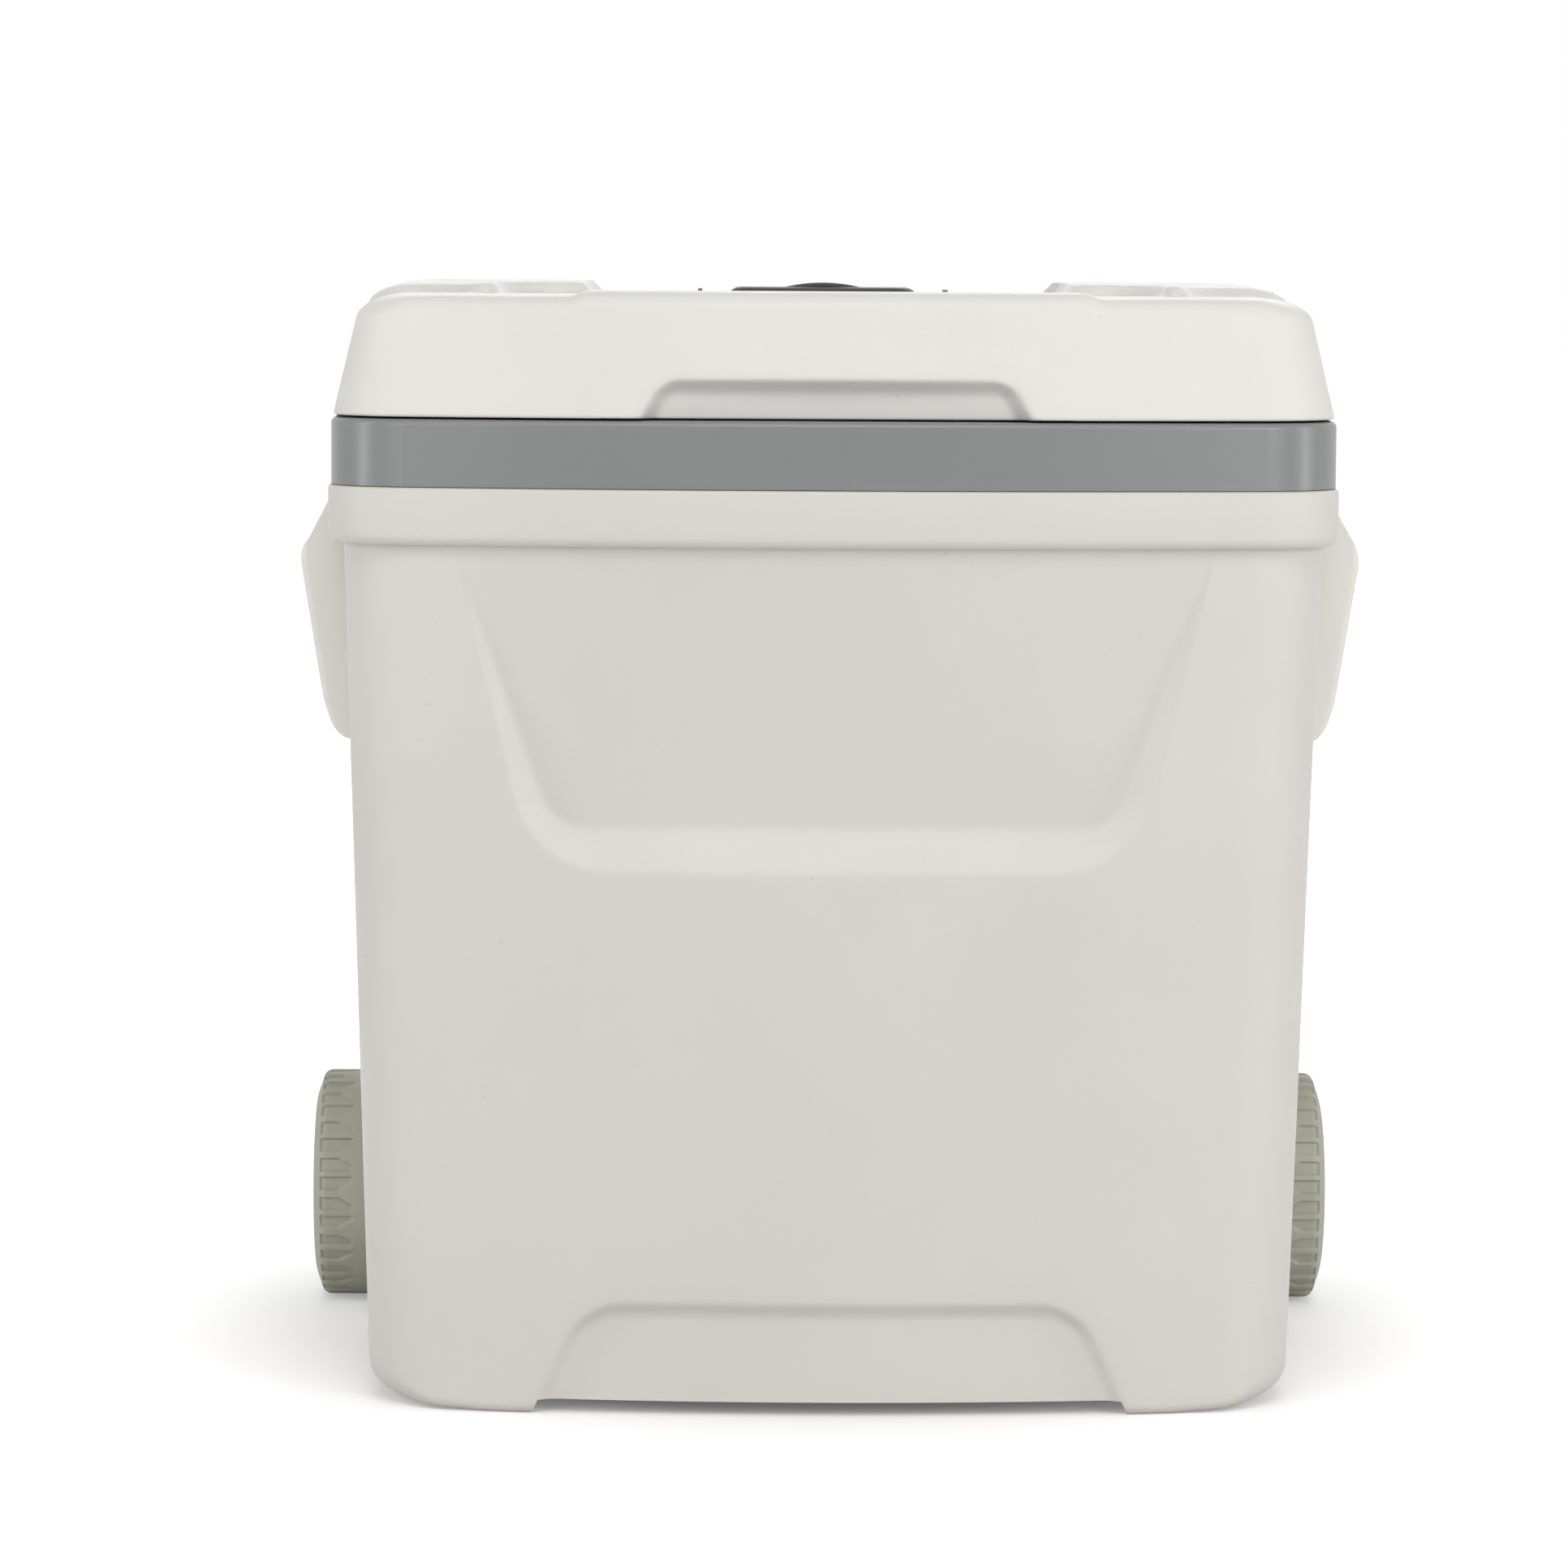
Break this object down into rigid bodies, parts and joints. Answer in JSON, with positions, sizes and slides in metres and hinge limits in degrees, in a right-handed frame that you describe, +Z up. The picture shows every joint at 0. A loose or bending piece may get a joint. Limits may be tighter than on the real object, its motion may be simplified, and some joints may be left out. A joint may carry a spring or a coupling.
{
  "type": "wheeled cooler",
  "caption": "Insulated box on wheels with a hinged lid, telescoping tow handle, side lift handles and a drain, to keep food and drink cold on the move.",
  "frame": {"origin": "on the ground, under the middle of the cooler's overall box", "axes": "+Z up; -Y is the front with the lid's finger notch, +Y the rear with hinges and tow handle; +X is the right side seen from the front"},
  "size_m": [0.544, 0.4459, 0.551],
  "materials": {
    "white_plastic": "fine matte, warm off-white",
    "grey_plastic": "smooth satin grey",
    "foam": "closed-cell foam, cut surface",
    "tread": "matte sage grey",
    "hub_plastic": "satin dark grey",
    "black_plastic": "fine textured near-black",
    "hinge_plastic": "matte off-white",
    "steel": "bright zinc",
    "aluminium": "satin anodised",
    "drain_plastic": "matte light grey",
    "seal_rubber": "soft black"
  },
  "bodies": {
    "tub": {"outer_shell": "white_plastic", "inner_liner": "grey_plastic", "body_foam": "foam", "side_handle_left": "white_plastic", "side_handle_right": "white_plastic", "hinge_body_leaf_left": "hinge_plastic", "hinge_body_leaf_right": "hinge_plastic", "hinge_pin_left": "steel", "hinge_pin_right": "steel", "hinge_body_screws": "steel", "axle": "steel", "axle_clip_left": "hub_plastic", "axle_clip_right": "hub_plastic", "axle_clip_screws": "steel", "wheel_washer_left": "hub_plastic", "wheel_washer_right": "hub_plastic", "axle_cap_left": "hub_plastic", "axle_cap_right": "hub_plastic", "guide_upper": "black_plastic", "guide_lower": "black_plastic", "bracket_screws": "steel", "outer_tube_left": "aluminium", "outer_tube_right": "aluminium", "glide_bush_left": "black_plastic", "glide_bush_right": "black_plastic", "drain_fitting": "drain_plastic", "drain_washer": "seal_rubber"},
    "lid": {"lid_shell": "white_plastic", "lid_liner": "grey_plastic", "lid_foam": "foam", "hinge_lid_leaf_left": "hinge_plastic", "hinge_lid_leaf_right": "hinge_plastic", "hinge_lid_screws": "steel"},
    "wheel_left": {"tyre_left": "tread", "wheel_hub_left": "hub_plastic"},
    "wheel_right": {"tyre_right": "tread", "wheel_hub_right": "hub_plastic"},
    "tow_handle": {"inner_tube_left": "aluminium", "inner_tube_right": "aluminium", "end_plug_left": "black_plastic", "end_plug_right": "black_plastic", "grip_base": "black_plastic", "grip_cap": "black_plastic", "grip_screws": "steel", "button_spring": "steel", "lock_spring_left": "steel", "lock_spring_right": "steel"},
    "release": {"release_button": "black_plastic", "release_yoke": "black_plastic"},
    "lock_left": {"lock_pin_left": "steel"},
    "lock_right": {"lock_pin_right": "steel"},
    "drain": {"drain_plug": "drain_plastic"}
  },
  "joints": [
    {"name": "lid_hinge", "type": "hinge", "parent": "tub", "child": "lid", "pos_m": [0, 0.212, 0.529], "axis": [1, 0, 0], "range_deg": [-100, 0]},
    {"name": "wheel_left_spin", "type": "hinge", "parent": "tub", "child": "wheel_left", "pos_m": [-0.246, 0.162, 0.061], "axis": [1, 0, 0], "continuous": true},
    {"name": "wheel_right_spin", "type": "hinge", "parent": "tub", "child": "wheel_right", "pos_m": [0.246, 0.162, 0.061], "axis": [1, 0, 0], "continuous": true},
    {"name": "tow_slide", "type": "slide", "parent": "tub", "child": "tow_handle", "axis": [0, 0, 1], "range_m": [0, 0.34]},
    {"name": "release_press", "type": "slide", "parent": "tow_handle", "child": "release", "axis": [0, 0, -1], "range_m": [0, 0.0045], "stiffness_N_per_m": 400, "springref_m": -0.003, "deforming": ["button_spring"]},
    {"name": "lock_left_draw", "type": "slide", "parent": "tow_handle", "child": "lock_left", "axis": [1, 0, 0], "range_m": [0, 0.0025], "deforming": ["lock_spring_left"]},
    {"name": "lock_right_draw", "type": "slide", "parent": "tow_handle", "child": "lock_right", "axis": [-1, 0, 0], "range_m": [0, 0.0025], "deforming": ["lock_spring_right"]},
    {"name": "drain_pull", "type": "slide", "parent": "tub", "child": "drain", "axis": [1, 0, 0], "range_m": [0, 0.03]}
  ],
  "couplings": [
    {"joint": "lock_left_draw", "follows": "release_press", "ratio": 0.55},
    {"joint": "lock_right_draw", "follows": "release_press", "ratio": 0.55}
  ]
}
